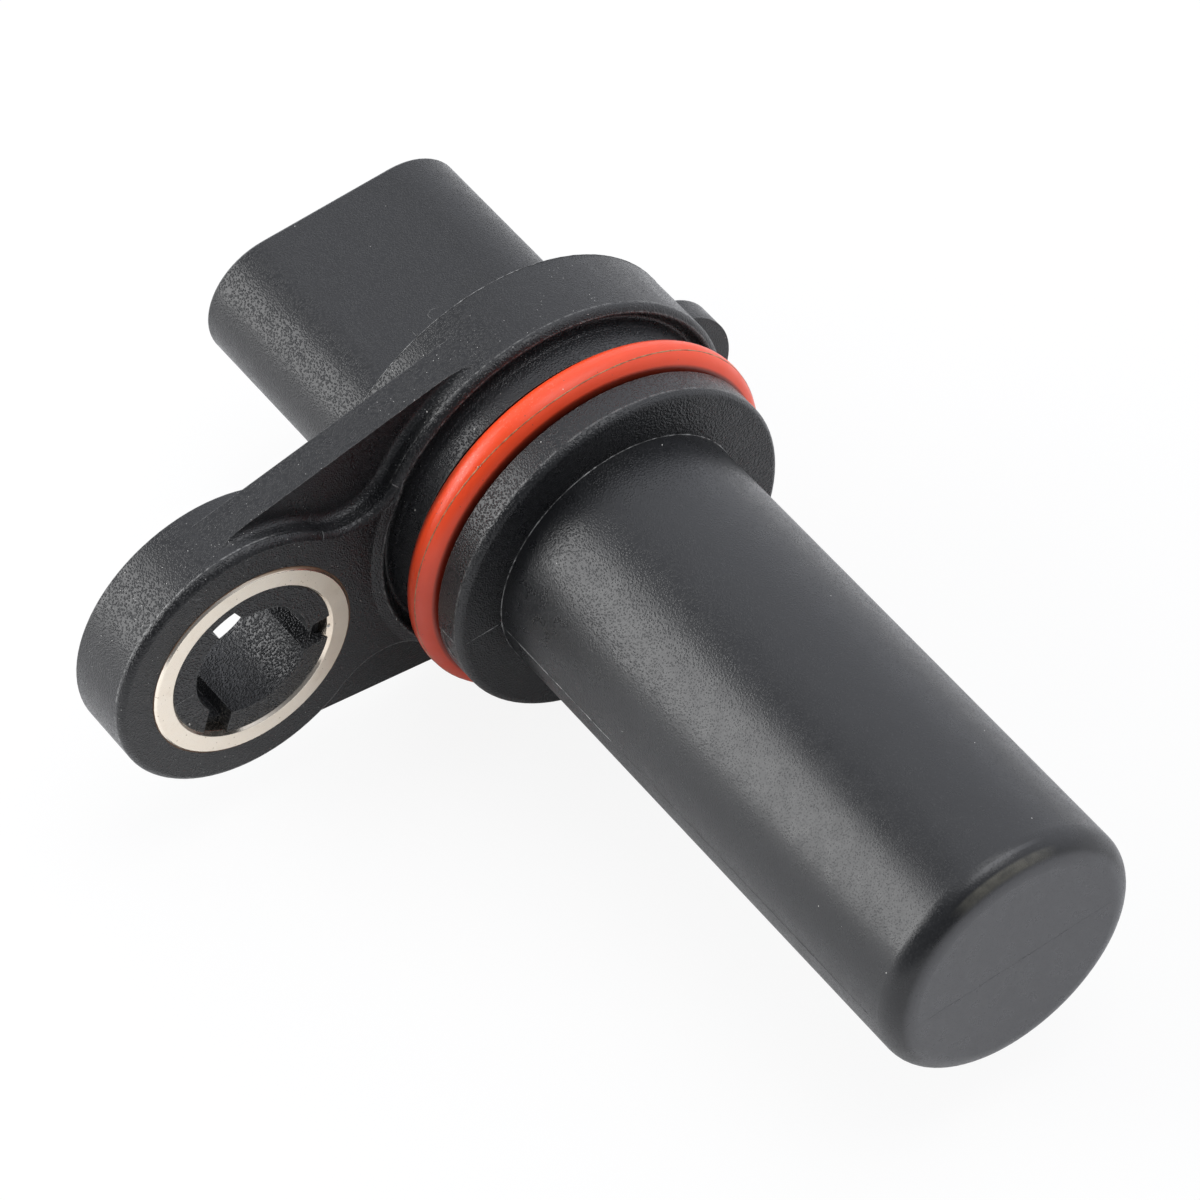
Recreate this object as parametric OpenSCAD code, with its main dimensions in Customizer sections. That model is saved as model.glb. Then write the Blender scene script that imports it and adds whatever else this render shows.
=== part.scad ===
// Crankshaft position sensor with a round probe, sealing ring, bolted ear and plug connector.
// Millimetres. The probe axis is X and points to the tip; the ear lies towards -Y; +Z is up.
// The origin is on the probe axis in the plane of the bolting face.

/* [Probe] */
// Outside diameter of the round probe
probe_d = 18; // [17:0.5:19]
// Distance from the bolting face to the tip
probe_reach = 47.4; // [46:0.2:56]
// Wall of the probe cup
probe_wall = 1.2; // [1:0.1:1.3]
// Thickness of the closed end in front of the chip
tip_wall = 1; // [0.8:0.1:1.2]
// Rounding of the tip edge
tip_round = 1.7; // [0.6:0.1:2]
// How much smaller the probe's spigot in the housing is, each side
spigot_step = 0.3; // [0.2:0.05:0.4]

/* [Neck and seal] */
// Diameter of the collar in front of the sealing ring
collar_d = 24.4; // [24:0.1:24.8]
// Distance from the bolting face to the collar front
collar_front = 7.3; // [7:0.1:8.5]
// Rounding of the collar's front edge
collar_round = 0.5; // [0.2:0.1:0.8]
// Width of the collar's land
collar_land = 2.2; // [1.8:0.1:2.4]
// Diameter of the neck behind the sealing ring
neck_d = 23.9; // [23.6:0.1:24]
// Section of the sealing ring
seal_section = 2.54; // [2.4:0.02:2.6]
// Outside diameter of the sealing ring as fitted
seal_d = 26.26; // [26:0.02:26.5]
// Play of the ring between the groove walls, each side
seal_play = 0.35; // [0.2:0.05:0.45]

/* [Flange] */
// How far the round flange disc stands out beyond the sealing ring
disc_over = 0.32; // [0.2:0.02:0.5]
// Depth of the disc behind the bolting face
disc_depth = 5.6; // [5.2:0.1:6]
// Distance from the probe axis to the bolt axis
bolt_offset = 22.72; // [22:0.02:24]
// Diameter of the ear round the bolt
ear_d = 19.24; // [18.6:0.02:20]
// Depth of the ear behind the bolting face
ear_depth = 5; // [4.6:0.1:5.2]
// Radius of the two hollows between disc and ear
hollow_r = 3.9; // [3.4:0.1:4.4]
// Width of the disc's rim between its edge and the recess round the neck
rim_width = 0.45; // [0.4:0.05:0.6]
// Height of the rim above the bolting face on the ear's side
rim_height = 0.22; // [0.16:0.02:0.3]
// Width of the rim's sloping foot on the ear's side
rim_foot = 0.3; // [0.2:0.05:0.4]
// Rounding of the raised edges of disc and ear
edge_round = 0.6; // [0.4:0.05:0.8]
// Fillet at the foot of the raised edges
foot_round = 0.5; // [0.3:0.05:0.6]
// Height of the pad above the arm plate
pad_height = 1.6; // [1.3:0.1:1.9]
// Thickness of the arm plate
arm_thickness = 2.3; // [1.8:0.1:2.4]
// Depth of the ring recess round the neck
recess_depth = 1.6; // [1.2:0.1:1.8]
// Diameter of the round tab opposite the ear
tab_d = 10.06; // [9:0.02:11]
// How far the tab stands out of the disc
tab_out = 1.88; // [1.5:0.02:2.2]
// Thickness of the tab
tab_thickness = 1.9; // [1.5:0.1:2.2]
// Distance of the tab's front behind the bolting face
tab_back = 2.2; // [1.8:0.1:2.6]

/* [Bolt hole] */
// Outside diameter of the steel bush
bush_d = 14.4; // [14:0.1:14.8]
// Wall of the steel bush
bush_wall = 1.58; // [1.4:0.02:1.7]
// Chamfer of the bush's bore at the bolting face
bore_chamfer = 0.28; // [0.2:0.02:0.34]
// How far the bush stands out behind the ear
bush_back = 0.7; // [0.4:0.1:1]
// Bore of the plastic retainer for the bolt
bolt_bore_d = 8.2; // [8:0.1:8.6]
// Width of the retainer's slots
slot_width = 1.85; // [1.4:0.05:1.95]
// Web left outside the slots
slot_web = 0.5; // [0.4:0.05:0.7]

/* [Connector] */
// Long side of the connector sleeve
sleeve_w = 19.6; // [19.2:0.1:20.4]
// Short side of the connector sleeve
sleeve_h = 9.7; // [9.4:0.1:10.2]
// Wall of the connector sleeve
sleeve_wall = 1.3; // [1.1:0.1:1.4]
// Distance from the bolting face to the sleeve's mouth
sleeve_reach = 24.75; // [23.8:0.25:27]
// Distance from the bolting face to the socket floor
floor_depth = 9; // [8.4:0.2:9.6]
// Free length of the terminal blades
blade_l = 9; // [8:0.5:9.5]
// Width of the terminal blades
blade_w = 2.2; // [1.8:0.1:2.4]
// Thickness of the terminals
blade_t = 0.8; // [0.6:0.1:0.8]
// Distance between neighbouring blades
blade_pitch = 4.2; // [4:0.05:4.3]

/* [Inside] */
// Magnet diameter
magnet_d = 7; // [6:0.2:7]
// Magnet length
magnet_l = 7; // [5:0.5:8]
// Width of the sensing chip
chip_w = 4.2; // [3.8:0.1:4.6]
// Height of the sensing chip
chip_h = 3.4; // [3:0.1:3.6]
// Thickness of the sensing chip
chip_t = 1.3; // [1.1:0.1:1.4]
// Circuit board width
board_w = 11; // [10.9:0.1:11.4]
// Circuit board length
board_l = 29; // [26:0.5:29]
// Circuit board thickness
board_t = 1; // [0.8:0.1:1]
// Distance of the capacitors from the rear end of the board
capacitor_at = 12; // [8:0.5:13]
// Distance of the resistor from the rear end of the board
resistor_at = 18; // [17:0.5:22]
// Distance of capacitors and resistor from the middle of the board
row_offset = 2.6; // [2.4:0.1:3.4]

/* [Fits] */
// Clearance of pieces that are moulded or pressed into each other
tight = 0.02; // [0.01:0.01:0.04]
// Clearance of pieces that are slid into each other
loose = 0.15; // [0.1:0.05:0.2]

/* [Hidden] */
$fn = 96;
over = 1;
joint = 0.02;
// The roundings end in faint crisp lines instead of running out
crisp = 1.04;
probe_r = probe_d / 2;
cup_r = probe_r - probe_wall;
spigot_r = probe_r - spigot_step;
cup_rear = -3;
cup_floor = probe_reach - tip_wall;
collar_r = collar_d / 2;
neck_r = neck_d / 2;
seal_r = seal_section / 2;
seal_mid_r = seal_d / 2 - seal_r;
groove_front = collar_front - collar_land;
groove_rear = groove_front - seal_section - 2 * seal_play;
seal_mid = (groove_front + groove_rear) / 2;
disc_r = seal_d / 2 + disc_over;
ear_r = ear_d / 2;
// The hollows touch the disc and the ear
hollow_x = (pow(disc_r + hollow_r, 2) - pow(ear_r + hollow_r, 2) + pow(bolt_offset, 2)) / (2 * bolt_offset);
hollow_y = sqrt(pow(disc_r + hollow_r, 2) - pow(hollow_x, 2));
disc_angle = atan2(hollow_y, hollow_x);
ear_angle = atan2(hollow_y, bolt_offset - hollow_x);
hollow_edge = edge_round - 0.1;
hollow_foot = foot_round + 0.06;
// Where disc, ear and hollows meet, their roundings run past each other
lap = 1.5;
// The straight sides of the arm run from circle to circle
side_inset = 0.06;
side_disc_r = disc_r - side_inset;
side_ear_r = ear_r - side_inset;
side_angle = asin((side_disc_r - side_ear_r) / bolt_offset);
arm_front = -pad_height;
arm_rear = -pad_height - arm_thickness;
recess_w = disc_r - rim_width - neck_r;
// The rim's foot ends where the hollows begin
foot_angle = disc_angle - 4;
bush_r = bush_d / 2;
bush_bore_r = bush_r - bush_wall;
bolt_bore_r = bolt_bore_d / 2;
bush_proud = 0.15;
bush_chamfer = 0.15;
bush_rear = -ear_depth - bush_back;
// The slots leave the bore at these angles and lean away from the radius
slot_mouths = [105, 227, 346];
slot_leans = [13, 22, 12];
slot_cut = 0.9;
sleeve_round = 0.4;
blade_tip = -floor_depth - blade_l;
blade_point = 1.2;
cup_play = 0.2;
carrier_r = cup_r - cup_play;
carrier_rear = 4;
carrier_front = cup_floor - 0.1;
tray_z = 3;
board_top = tray_z + board_t;
board_rear = carrier_rear + 0.6;
board_front = board_rear + board_l;
foot_l = 4.4;
riser_front = carrier_rear - 0.2;
riser_rear = riser_front - blade_t;
chip_front = cup_floor - 0.3;
chip_rear = chip_front - chip_t;
pole_t = 1;
pole_rear = chip_rear - pole_t;
magnet_rear = pole_rear - magnet_l;
magnet_r = magnet_d / 2;
plug_front = 2.5;
lead_pitch = 1.27;
lead_w = 0.4;
lead_t = 0.25;
lead_bend = chip_rear + chip_t / 2;
lead_rear = board_front - 3;
lead_z = board_top;
capacitor = [3.2, 1.8, 1.3];
resistor_size = [3.2, 1.6, 0.7];
black = [0.08, 0.08, 0.085];
orange = [0.86, 0.26, 0.14];
steel = [0.74, 0.7, 0.64];
brass = [0.78, 0.62, 0.3];

// Sub-parts are drawn with the probe axis upright and then laid along X
module lay() {
    rotate([90, 0, 90]) children();
}

module to_ear() {
    translate([-bolt_offset, 0, 0]) children();
}

// Band left after rounding an outer edge of radius r at height 0
module outer_edge(r, round) {
    difference() {
        translate([r - round, -round]) square([round + over, round + over]);
        translate([r - round, -round]) circle(r = round * crisp);
    }
}

// The same for the edge of a round opening of radius r
module inner_edge(r, round) {
    difference() {
        translate([r - over / 2, -round]) square([round + over / 2, round + over / 2]);
        translate([r + round, -round]) circle(r = round * crisp);
    }
}

// Fillet at the foot of an outer wall of radius r, standing on height 0
module outer_foot(r, round) {
    difference() {
        translate([r - joint, -joint]) square([round + joint, round + joint]);
        translate([r + round, round]) circle(r = round);
    }
}

// The same at the foot of a hollow wall of radius r
module inner_foot(r, round) {
    difference() {
        translate([r - round, -joint]) square([round + joint, round + joint]);
        translate([r - round, round]) circle(r = round);
    }
}

// Outline of the raised pad: disc, ear and the web with its two hollows
module pad_outline() {
    circle(r = disc_r);
    translate([-bolt_offset, 0]) circle(r = ear_r);
    difference() {
        polygon([[0, 0], [-hollow_x, hollow_y], [-bolt_offset, 0], [-hollow_x, -hollow_y]]);
        translate([-hollow_x, hollow_y]) circle(r = hollow_r);
        translate([-hollow_x, -hollow_y]) circle(r = hollow_r);
    }
}

// Straight-sided outline of the arm plate
module arm_outline() {
    polygon([
        [-side_disc_r * sin(side_angle), side_disc_r * cos(side_angle)],
        [-bolt_offset - side_ear_r * sin(side_angle), side_ear_r * cos(side_angle)],
        [-bolt_offset - side_ear_r * sin(side_angle), -side_ear_r * cos(side_angle)],
        [-side_disc_r * sin(side_angle), -side_disc_r * cos(side_angle)]
    ]);
}

// Slope from the disc's rim down to the bolting face of the ear
module rim_slope() {
    rotate([0, 0, 180 - foot_angle]) rotate_extrude(angle = 2 * foot_angle) polygon([
        [disc_r - 2 * rim_width, -rim_height],
        [disc_r + rim_foot, -rim_height],
        [disc_r + rim_foot, 0],
        [disc_r - rim_width, rim_height],
        [disc_r - 2 * rim_width, rim_height]
    ]);
}

module flange_solid() {
    rim_slope();
    translate([0, 0, -disc_depth]) cylinder(r = disc_r, h = disc_depth);
    to_ear() translate([0, 0, -ear_depth]) cylinder(r = ear_r, h = ear_depth);
    translate([0, 0, arm_rear]) linear_extrude(height = -arm_rear) pad_outline();
    translate([0, 0, arm_rear]) linear_extrude(height = arm_thickness) arm_outline();
    intersection() {
        translate([0, 0, arm_front]) pad_feet();
        translate([0, 0, arm_rear]) linear_extrude(height = -arm_rear) arm_outline();
    }
}

module pad_feet() {
    for (side = [0, 1]) mirror([0, side, 0]) {
        to_ear() rotate([0, 0, ear_angle - lap]) rotate_extrude(angle = 120 - ear_angle)
            outer_foot(ear_r, foot_round);
        rotate([0, 0, 60]) rotate_extrude(angle = 120 - disc_angle + lap) outer_foot(disc_r, foot_round);
        translate([-hollow_x, hollow_y, 0]) rotate([0, 0, -180 + ear_angle - lap])
            rotate_extrude(angle = 180 - ear_angle - disc_angle + 2 * lap) inner_foot(hollow_r, hollow_foot);
    }
}

// Rounding of the raised edges all round the pad
module pad_edges() {
    to_ear() rotate([0, 0, ear_angle - lap]) rotate_extrude(angle = 360 - 2 * ear_angle + 2 * lap)
        outer_edge(ear_r, edge_round);
    rotate([0, 0, -180 + disc_angle - lap]) rotate_extrude(angle = 360 - 2 * disc_angle + 2 * lap)
        outer_edge(disc_r, edge_round);
    for (side = [0, 1]) mirror([0, side, 0]) {
        translate([-hollow_x, hollow_y, 0]) rotate([0, 0, -180 + ear_angle])
            rotate_extrude(angle = 180 - ear_angle - disc_angle) inner_edge(hollow_r, hollow_edge);
    }
}

// Ring recess between the neck and the disc's rim
module neck_recess() {
    rotate_extrude() {
        translate([neck_r, recess_w / 2 - recess_depth]) square([recess_w, recess_depth + over]);
        translate([neck_r + recess_w / 2, recess_w / 2 - recess_depth]) circle(r = recess_w / 2);
    }
}

module neck_solid() {
    rotate_extrude() {
        square([neck_r, groove_rear]);
        square([seal_mid_r - seal_r, collar_front - over]);
        translate([0, groove_front]) square([collar_r, collar_land - collar_round]);
        translate([0, groove_front]) square([collar_r - collar_round, collar_land]);
        translate([collar_r - collar_round, collar_front - collar_round]) circle(r = collar_round);
    }
}

module sleeve_outline(inset) {
    half = sleeve_h / 2 - inset;
    run = sleeve_w / 2 - sleeve_h / 2;
    square([2 * run, 2 * half], center = true);
    translate([run, 0]) circle(r = half);
    translate([-run, 0]) circle(r = half);
}

// Rounding of the sleeve's outer edge at the mouth
module sleeve_edge() {
    run = sleeve_w / 2 - sleeve_h / 2;
    translate([0, 0, -sleeve_reach]) mirror([0, 0, 1]) {
        for (side = [0, 1]) {
            mirror([side, 0, 0]) translate([run, 0, 0]) rotate([0, 0, -90])
                rotate_extrude(angle = 180) outer_edge(sleeve_h / 2, sleeve_round);
            mirror([0, side, 0]) translate([-run, 0, 0]) rotate([90, 0, 90])
                linear_extrude(height = 2 * run) outer_edge(sleeve_h / 2, sleeve_round);
        }
    }
}

// Round tab on the side away from the ear
module locating_tab() {
    translate([disc_r + tab_out - tab_d / 2, 0, -tab_back - tab_thickness])
        cylinder(r = tab_d / 2, h = tab_thickness);
}

// Passages of the terminals through the socket floor and the resin behind it
module terminal_slots() {
    length = floor_depth + plug_front + 2 * over;
    for (side = [-1, 0, 1]) {
        translate([side * blade_pitch, 0, plug_front + over - length / 2])
            cube([blade_w + 2 * tight, blade_t + 2 * tight, length], center = true);
    }
}

module housing() {
    color(black) lay() difference() {
        union() {
            difference() {
                flange_solid();
                pad_edges();
                neck_recess();
            }
            neck_solid();
            locating_tab();
            translate([0, 0, -sleeve_reach])
                linear_extrude(height = sleeve_reach - disc_depth + over) sleeve_outline(0);
        }
        sleeve_edge();
        translate([0, 0, -sleeve_reach - over])
            linear_extrude(height = sleeve_reach - floor_depth + over) sleeve_outline(sleeve_wall);
        translate([0, 0, cup_rear]) cylinder(r = spigot_r + tight, h = collar_front - cup_rear + over);
        terminal_slots();
        to_ear() translate([0, 0, -ear_depth - over]) cylinder(r = bush_r + tight, h = ear_depth + 2 * over);
    }
}

// Closed probe with a shoulder against the collar and a spigot inside the housing
module probe_cup() {
    color(black) lay() difference() {
        rotate_extrude() {
            translate([0, cup_rear]) square([spigot_r, collar_front - cup_rear + over]);
            translate([0, collar_front]) square([probe_r, probe_reach - tip_round - collar_front]);
            translate([0, collar_front]) square([probe_r - tip_round, probe_reach - collar_front]);
            translate([probe_r - tip_round, probe_reach - tip_round]) circle(r = tip_round);
        }
        translate([0, 0, cup_rear - over]) cylinder(r = cup_r, h = cup_floor - cup_rear + over);
    }
}

module sealing_ring() {
    color(orange) lay() translate([0, 0, seal_mid]) rotate_extrude()
        translate([seal_mid_r, 0]) circle(r = seal_r);
}

// Steel bush that takes the bolt's load, chamfered at its edges
module compression_limiter() {
    color(steel) lay() to_ear() rotate_extrude() polygon([
        [bush_bore_r, bush_rear],
        [bush_r - bush_chamfer, bush_rear],
        [bush_r, bush_rear + bush_chamfer],
        [bush_r, bush_proud - bush_chamfer],
        [bush_r - bush_chamfer, bush_proud],
        [bush_bore_r + bore_chamfer, bush_proud],
        [bush_bore_r, bush_proud - bore_chamfer]
    ]);
}

// Slot from the bolt's bore outwards, leaning to one side of the radius
module slot_outline(k) {
    rotate(slot_mouths[k] + slot_leans[k])
        translate([0, -bolt_bore_r * sin(slot_leans[k]) - slot_width / 2]) square([bush_r, slot_width]);
}

// Plastic insert that holds the bolt, with a flared lip in the bush's chamfer
module bolt_retainer() {
    outer = bush_bore_r - tight;
    lip = bore_chamfer - bush_proud;
    color(black) lay() to_ear() difference() {
        rotate_extrude() polygon([
            [bolt_bore_r, bush_rear],
            [outer, bush_rear],
            [outer, -lip],
            [outer + lip, 0],
            [bolt_bore_r, 0]
        ]);
        for (k = [0, 1, 2]) {
            translate([0, 0, bush_rear - over]) linear_extrude(height = 2 * over - bush_rear)
                intersection() {
                    circle(r = outer - slot_web);
                    slot_outline(k);
                }
        }
        // Two of the webs stop short of the face
        for (k = [1, 2]) {
            translate([0, 0, -slot_cut]) linear_extrude(height = slot_cut + over) slot_outline(k);
        }
    }
}

// Stamped terminal: blade in the socket, strip through the wall, riser and foot on the board
module terminal(side) {
    color(brass) lay() translate([side * blade_pitch - blade_w / 2, 0, 0]) {
        rotate([90, 0, 90]) linear_extrude(height = blade_w) polygon([
            [blade_t / 2, blade_tip + blade_point],
            [blade_t / 6, blade_tip],
            [-blade_t / 6, blade_tip],
            [-blade_t / 2, blade_tip + blade_point],
            [-blade_t / 2, riser_front],
            [board_top, riser_front],
            [board_top, riser_front + foot_l],
            [board_top + blade_t, riser_front + foot_l],
            [board_top + blade_t, riser_rear],
            [blade_t / 2, riser_rear]
        ]);
    }
}

module terminal_left() {
    terminal(-1);
}

module terminal_middle() {
    terminal(0);
}

module terminal_right() {
    terminal(1);
}

module resin_plug() {
    color([0.16, 0.13, 0.1]) lay() difference() {
        translate([0, 0, cup_rear]) cylinder(r = cup_r - tight, h = plug_front - cup_rear);
        terminal_slots();
    }
}

module inner_carrier() {
    color([0.3, 0.3, 0.32]) lay() difference() {
        translate([0, 0, carrier_rear]) cylinder(r = carrier_r, h = carrier_front - carrier_rear);
        // Tray for the board, open at the rear
        translate([-probe_r, tray_z, carrier_rear - over])
            cube([probe_d, probe_r, board_front + loose - carrier_rear + over]);
        // Flat for the chip leads
        translate([-probe_r, board_top, board_front])
            cube([probe_d, probe_r, carrier_front - board_front + over]);
        // Bore for magnet and pole plate
        translate([0, 0, magnet_rear]) cylinder(r = magnet_r + tight, h = chip_rear - magnet_rear);
        // Pocket for the chip, open to the flat
        translate([-chip_w / 2 - tight, -chip_h / 2 - tight, chip_rear])
            cube([chip_w + 2 * tight, probe_r, carrier_front - chip_rear + over]);
    }
}

module circuit_board() {
    color([0.1, 0.36, 0.2]) lay() translate([-board_w / 2, tray_z, board_rear])
        cube([board_w, board_t, board_l]);
}

// Chip component lying on the board, its middle at x across and at a distance from the board's rear end
module on_board(x, distance, size) {
    translate([x - size[1] / 2, board_top, board_rear + distance - size[0] / 2])
        cube([size[1], size[2], size[0]]);
}

module capacitor_supply() {
    color([0.6, 0.46, 0.3]) lay() on_board(-row_offset, capacitor_at, capacitor);
}

module capacitor_signal() {
    color([0.6, 0.46, 0.3]) lay() on_board(row_offset, capacitor_at, capacitor);
}

module resistor() {
    color([0.12, 0.12, 0.13]) lay() on_board(row_offset, resistor_at, resistor_size);
}

module magnet() {
    color([0.36, 0.36, 0.38]) lay() translate([0, 0, magnet_rear]) cylinder(r = magnet_r, h = magnet_l);
}

module pole_plate() {
    color(steel) lay() translate([0, 0, pole_rear]) cylinder(r = magnet_r, h = pole_t);
}

module hall_chip() {
    color([0.1, 0.1, 0.11]) lay() translate([-chip_w / 2, -chip_h / 2, chip_rear])
        cube([chip_w, chip_h, chip_t]);
}

// Lead from the top of the chip, bent back over the flat to the board
module chip_lead(side) {
    color(steel) lay() translate([side * lead_pitch - lead_w / 2, 0, 0]) rotate([90, 0, 90])
        linear_extrude(height = lead_w) polygon([
            [chip_h / 2, lead_bend],
            [chip_h / 2, lead_bend - lead_t],
            [lead_z, lead_bend - lead_t],
            [lead_z, lead_rear],
            [lead_z + lead_t, lead_rear],
            [lead_z + lead_t, lead_bend]
        ]);
}

module chip_lead_left() {
    chip_lead(-1);
}

module chip_lead_middle() {
    chip_lead(0);
}

module chip_lead_right() {
    chip_lead(1);
}

housing();
probe_cup();
sealing_ring();
compression_limiter();
bolt_retainer();
terminal_left();
terminal_middle();
terminal_right();
resin_plug();
inner_carrier();
circuit_board();
capacitor_supply();
capacitor_signal();
resistor();
magnet();
pole_plate();
hall_chip();
chip_lead_left();
chip_lead_middle();
chip_lead_right();
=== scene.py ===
import math
import random

import bmesh
import bpy
from mathutils import Matrix, Vector, noise


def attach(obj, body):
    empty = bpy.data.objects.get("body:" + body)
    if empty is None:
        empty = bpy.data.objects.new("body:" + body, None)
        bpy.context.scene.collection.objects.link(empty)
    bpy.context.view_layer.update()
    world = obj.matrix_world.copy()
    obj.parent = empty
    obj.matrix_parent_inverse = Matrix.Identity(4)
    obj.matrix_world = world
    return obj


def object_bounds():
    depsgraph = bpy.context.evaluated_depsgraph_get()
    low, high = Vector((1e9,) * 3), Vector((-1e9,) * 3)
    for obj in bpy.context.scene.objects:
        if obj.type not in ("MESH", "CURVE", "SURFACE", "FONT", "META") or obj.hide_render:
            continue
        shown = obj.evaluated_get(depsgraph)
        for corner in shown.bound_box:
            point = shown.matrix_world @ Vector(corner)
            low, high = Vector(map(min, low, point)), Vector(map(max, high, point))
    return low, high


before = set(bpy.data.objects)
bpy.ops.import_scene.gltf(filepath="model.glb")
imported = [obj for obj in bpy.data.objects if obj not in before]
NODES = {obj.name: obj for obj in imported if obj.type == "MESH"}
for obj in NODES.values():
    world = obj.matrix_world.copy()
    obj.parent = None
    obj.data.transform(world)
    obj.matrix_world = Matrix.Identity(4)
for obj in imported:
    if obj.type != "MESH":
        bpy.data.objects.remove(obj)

CAD_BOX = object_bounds()
MM = 0.001
SEED = 11

# Sizes that the part's source gives, in millimetres
PROBE_R = 9.0
TIP_X = 47.4
TIP_ROUND = 1.7
COLLAR_R = 12.2
COLLAR_FRONT = 7.3
COLLAR_REAR = 5.1
COLLAR_ROUND = 0.5
NECK_R = 11.95
SEAL_X = 3.48
SEAL_RING_R = 11.86
SEAL_TUBE_R = 1.27
BOLT_Y = -22.72
BOLT_BORE_R = 4.1
BUSH_R = 7.2
RETAINER_R = 5.73
EAR_R = 9.62
DISC_R = 13.45
RIM_R = 13.0
EDGE_ROUND = 0.6
FLANGE_REAR = -5.6

# The probe's axis and the upward direction
AXIS = Vector((1, 0, 0))
UP = Vector((0, 0, 1))
# The angle round that axis at which the ear lies, in degrees
EAR_SIDE = 180


# Camera

CAMERA_MM = (230.65, -132.90, 314.15)
CAMERA_RIGHT = (0.57995, 0.81137, -0.07309)
CAMERA_UP = (-0.60537, 0.48926, 0.62781)
CAMERA_BACK = (0.54515, -0.31985, 0.77493)
LENS = 197.09
SENSOR = 36.0
CLIP_START_M = 0.01
CLIP_END_M = 20.0


def make_camera():
    data = bpy.data.cameras.new("camera")
    data.sensor_width = SENSOR
    data.lens = LENS
    data.clip_start = CLIP_START_M
    data.clip_end = CLIP_END_M
    cam = bpy.data.objects.new("camera", data)
    bpy.context.scene.collection.objects.link(cam)
    place = Matrix.Identity(4)
    for column, axis in enumerate((CAMERA_RIGHT, CAMERA_UP, CAMERA_BACK)):
        for row in range(3):
            place[row][column] = axis[row]
    place.translation = Vector(CAMERA_MM) * MM
    cam.matrix_world = place
    bpy.context.scene.camera = cam


make_camera()


# Shader building blocks

RANGE_SOCKETS = ("From Min", "From Max", "To Min", "To Max")
# The colour sockets of a mix node, which has a set of sockets for each kind of value
MIX_A = 6
MIX_B = 7
MIX_RESULT = 2
BEVEL_SAMPLES = 6
# Cosine between a wall's normal and its rounded one where an edge starts and where it is full
EDGE_START = 0.995
EDGE_FULL = 0.9
# Share of a band's or a speck's size that is solid, before it fades
BAND_CORE = 0.4
SPECK_CORE = 0.6
# Distance from the middle of a hump, in cells, where it ends and where it is full
PEBBLE_END = 0.65
PEBBLE_FULL = 0.05


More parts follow.
